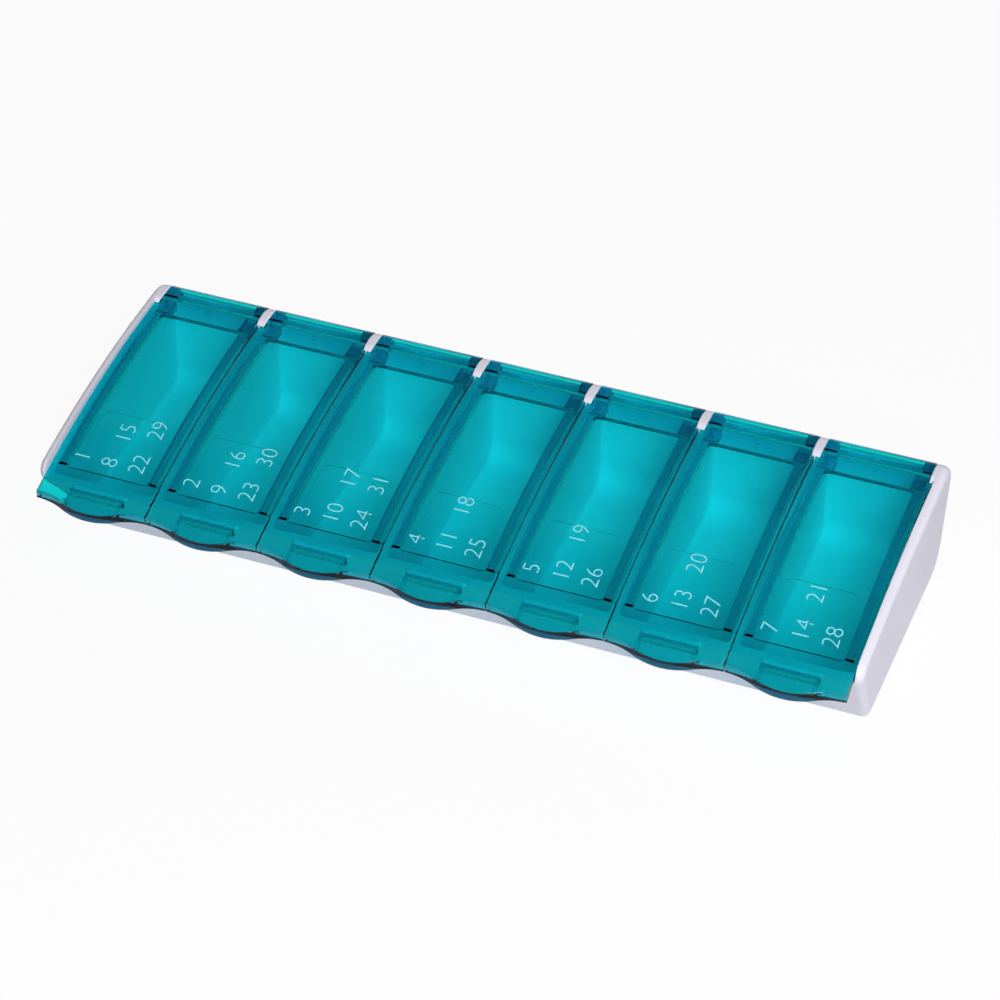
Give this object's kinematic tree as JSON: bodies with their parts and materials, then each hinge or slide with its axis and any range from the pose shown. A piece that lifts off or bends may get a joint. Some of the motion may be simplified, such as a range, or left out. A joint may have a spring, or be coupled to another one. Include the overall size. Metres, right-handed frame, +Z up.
{
  "type": "pill organizer",
  "caption": "Weekly pill organizer: white moulded tray with a row of compartments, each closed by its own translucent teal lid that hinges at the back and snaps shut at a wavy finger lip.",
  "frame": {"origin": "centre of the overall box, on the table under the flat bottom face", "axes": "+X along the row of compartments, +Y to the hinge side, -Y to the finger lips, +Z up"},
  "size_m": [0.2364, 0.0919, 0.0374],
  "materials": {
    "tray_plastic": "white polypropylene with a fine satin mould texture",
    "lid_plastic": "translucent teal plastic, polished outside"
  },
  "bodies": {
    "tray": {"base_tray": "tray_plastic"},
    "lid_1": {"lid_1": "lid_plastic"},
    "lid_2": {"lid_2": "lid_plastic"},
    "lid_3": {"lid_3": "lid_plastic"},
    "lid_4": {"lid_4": "lid_plastic"},
    "lid_5": {"lid_5": "lid_plastic"},
    "lid_6": {"lid_6": "lid_plastic"},
    "lid_7": {"lid_7": "lid_plastic"}
  },
  "joints": [
    {"name": "lid_1_hinge", "type": "hinge", "parent": "tray", "child": "lid_1", "pos_m": [-0.099, 0.0414, 0.03455], "axis": [-1, 0, 0], "range_deg": [0, 110]},
    {"name": "lid_2_hinge", "type": "hinge", "parent": "tray", "child": "lid_2", "pos_m": [-0.066, 0.0414, 0.03455], "axis": [-1, 0, 0], "range_deg": [0, 110]},
    {"name": "lid_3_hinge", "type": "hinge", "parent": "tray", "child": "lid_3", "pos_m": [-0.033, 0.0414, 0.03455], "axis": [-1, 0, 0], "range_deg": [0, 110]},
    {"name": "lid_4_hinge", "type": "hinge", "parent": "tray", "child": "lid_4", "pos_m": [0, 0.0414, 0.03455], "axis": [-1, 0, 0], "range_deg": [0, 110]},
    {"name": "lid_5_hinge", "type": "hinge", "parent": "tray", "child": "lid_5", "pos_m": [0.033, 0.0414, 0.03455], "axis": [-1, 0, 0], "range_deg": [0, 110]},
    {"name": "lid_6_hinge", "type": "hinge", "parent": "tray", "child": "lid_6", "pos_m": [0.066, 0.0414, 0.03455], "axis": [-1, 0, 0], "range_deg": [0, 110]},
    {"name": "lid_7_hinge", "type": "hinge", "parent": "tray", "child": "lid_7", "pos_m": [0.099, 0.0414, 0.03455], "axis": [-1, 0, 0], "range_deg": [0, 110]}
  ]
}
